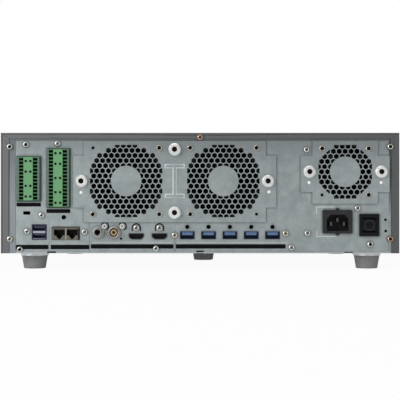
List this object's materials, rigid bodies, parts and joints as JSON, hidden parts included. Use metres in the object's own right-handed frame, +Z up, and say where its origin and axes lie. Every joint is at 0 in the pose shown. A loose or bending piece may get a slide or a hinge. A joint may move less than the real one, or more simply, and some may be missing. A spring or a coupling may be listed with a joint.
{
  "type": "video recorder",
  "caption": "Wide flat surveillance video recorder with hexagon-grille fan units, terminal blocks and sockets on its rear panel, and a lockable front door.",
  "frame": {"origin": "centre of the footprint, on the surface that the feet stand on", "axes": "+X along the rear panel to its right as one faces it, +Y from the rear panel to the front, +Z up"},
  "size_m": [0.43, 0.4096, 0.148],
  "materials": {
    "zinc_sheet": "satin zinc plating",
    "cover_paint": "fine matt paint",
    "bright_steel": "bright nickel",
    "black_plastic": "fine moulded grain",
    "dark_plastic": "fine moulded grain",
    "foot_rubber": "matt",
    "board_green": "solder mask",
    "terminal_green": "moulded",
    "socket_blue": "moulded",
    "yellow_brass": "plated",
    "drive_metal": "cast",
    "lens": "clear"
  },
  "bodies": {
    "case": {"chassis_base": "zinc_sheet", "rear_panel": "zinc_sheet", "top_cover": "cover_paint", "front_bezel": "dark_plastic", "drive_cage": "zinc_sheet", "drive_trays": "dark_plastic", "hard_drives": "drive_metal", "drive_backplane": "board_green", "power_supply_case": "zinc_sheet", "power_supply_board": "board_green", "ac_inlet": "dark_plastic", "ac_inlet_pins": "bright_steel", "switch_frame": "black_plastic", "main_board": "board_green", "board_standoffs": "bright_steel", "heat_sink": "drive_metal", "alarm_board": "board_green", "terminal_headers": "terminal_green", "data_shells": "bright_steel", "data_tongues": "socket_blue", "lan_jack": "yellow_brass", "audio_barrels": "bright_steel", "audio_inserts": "black_plastic", "cable_posts": "bright_steel", "video_shells": "bright_steel", "video_tongues": "black_plastic", "video_lock_screws": "bright_steel", "data_lock_nuts": "bright_steel", "cover_screws": "bright_steel", "panel_screws": "bright_steel", "ground_screw": "yellow_brass", "feet": "foot_rubber", "foot_screws": "bright_steel", "front_board": "board_green", "indicator_lenses": "lens", "front_data_ports": "bright_steel", "door_hinge_pins": "bright_steel"},
    "fan_unit": {"fan_plate": "zinc_sheet", "fan_frame_left": "black_plastic", "fan_frame_right": "black_plastic", "fan_screws": "bright_steel"},
    "psu_fan_unit": {"psu_fan_plate": "zinc_sheet", "psu_fan_frame": "black_plastic", "psu_fan_screws": "bright_steel"},
    "fan_rotor_left": {"fan_rotor_left": "black_plastic"},
    "fan_rotor_right": {"fan_rotor_right": "black_plastic"},
    "captive_screw_left": {"captive_screw_left": "bright_steel"},
    "captive_screw_right": {"captive_screw_right": "bright_steel"},
    "captive_screw_top": {"captive_screw_top": "bright_steel"},
    "captive_screw_bottom": {"captive_screw_bottom": "bright_steel"},
    "psu_fan_rotor": {"psu_fan_rotor": "black_plastic"},
    "psu_captive_screw_left": {"psu_captive_screw_left": "bright_steel"},
    "psu_captive_screw_right": {"psu_captive_screw_right": "bright_steel"},
    "power_rocker": {"power_rocker": "black_plastic"},
    "terminal_plug_small": {"terminal_plug_small": "terminal_green"},
    "terminal_plug_large": {"terminal_plug_large": "terminal_green"},
    "front_door": {"front_door": "dark_plastic"},
    "door_lock": {"door_lock": "bright_steel"},
    "alarm_reset_button": {"alarm_reset_button": "black_plastic"},
    "buzzer_stop_button": {"buzzer_stop_button": "black_plastic"}
  },
  "joints": [
    {"name": "fan_unit_pull", "type": "slide", "parent": "case", "child": "fan_unit", "axis": [0, -1, 0], "range_m": [0, 0.035]},
    {"name": "psu_fan_unit_pull", "type": "slide", "parent": "case", "child": "psu_fan_unit", "axis": [0, -1, 0], "range_m": [0, 0.035]},
    {"name": "fan_spin_left", "type": "hinge", "parent": "fan_unit", "child": "fan_rotor_left", "pos_m": [-0.0797, -0.18325, 0.096], "axis": [0, 1, 0], "continuous": true},
    {"name": "fan_spin_right", "type": "hinge", "parent": "fan_unit", "child": "fan_rotor_right", "pos_m": [0.0251, -0.18325, 0.096], "axis": [0, 1, 0], "continuous": true},
    {"name": "psu_fan_spin", "type": "hinge", "parent": "psu_fan_unit", "child": "psu_fan_rotor", "pos_m": [0.1565, -0.18325, 0.106], "axis": [0, 1, 0], "continuous": true},
    {"name": "captive_turn_left", "type": "hinge", "parent": "fan_unit", "child": "captive_screw_left", "pos_m": [-0.12775, -0.19645, 0.096], "axis": [0, 1, 0], "continuous": true},
    {"name": "captive_turn_right", "type": "hinge", "parent": "fan_unit", "child": "captive_screw_right", "pos_m": [0.07315, -0.19645, 0.096], "axis": [0, 1, 0], "continuous": true},
    {"name": "captive_turn_top", "type": "hinge", "parent": "fan_unit", "child": "captive_screw_top", "pos_m": [-0.0273, -0.19645, 0.13], "axis": [0, 1, 0], "continuous": true},
    {"name": "captive_turn_bottom", "type": "hinge", "parent": "fan_unit", "child": "captive_screw_bottom", "pos_m": [-0.0273, -0.19645, 0.062], "axis": [0, 1, 0], "continuous": true},
    {"name": "psu_captive_turn_left", "type": "hinge", "parent": "psu_fan_unit", "child": "psu_captive_screw_left", "pos_m": [0.1179, -0.19645, 0.106], "axis": [0, 1, 0], "continuous": true},
    {"name": "psu_captive_turn_right", "type": "hinge", "parent": "psu_fan_unit", "child": "psu_captive_screw_right", "pos_m": [0.1951, -0.19645, 0.106], "axis": [0, 1, 0], "continuous": true},
    {"name": "power_rocker_tilt", "type": "hinge", "parent": "case", "child": "power_rocker", "pos_m": [0.1826, -0.19325, 0.0485], "axis": [-1, 0, 0], "range_deg": [0, 16]},
    {"name": "terminal_small_pull", "type": "slide", "parent": "case", "child": "terminal_plug_small", "axis": [0, -1, 0], "range_m": [0, 0.012]},
    {"name": "terminal_large_pull", "type": "slide", "parent": "case", "child": "terminal_plug_large", "axis": [0, -1, 0], "range_m": [0, 0.012]},
    {"name": "front_door_swing", "type": "hinge", "parent": "case", "child": "front_door", "pos_m": [-0.2049, 0.19875, 0.083], "axis": [0, 0, 1], "range_deg": [0, 90]},
    {"name": "door_lock_turn", "type": "hinge", "parent": "front_door", "child": "door_lock", "pos_m": [0.0844, 0.20075, 0.083], "axis": [0, 1, 0], "range_deg": [0, 90]},
    {"name": "alarm_reset_press", "type": "slide", "parent": "case", "child": "alarm_reset_button", "axis": [0, -1, 0], "range_m": [0, 0.0015], "stiffness_N_per_m": 300},
    {"name": "buzzer_stop_press", "type": "slide", "parent": "case", "child": "buzzer_stop_button", "axis": [0, -1, 0], "range_m": [0, 0.0015], "stiffness_N_per_m": 300}
  ]
}
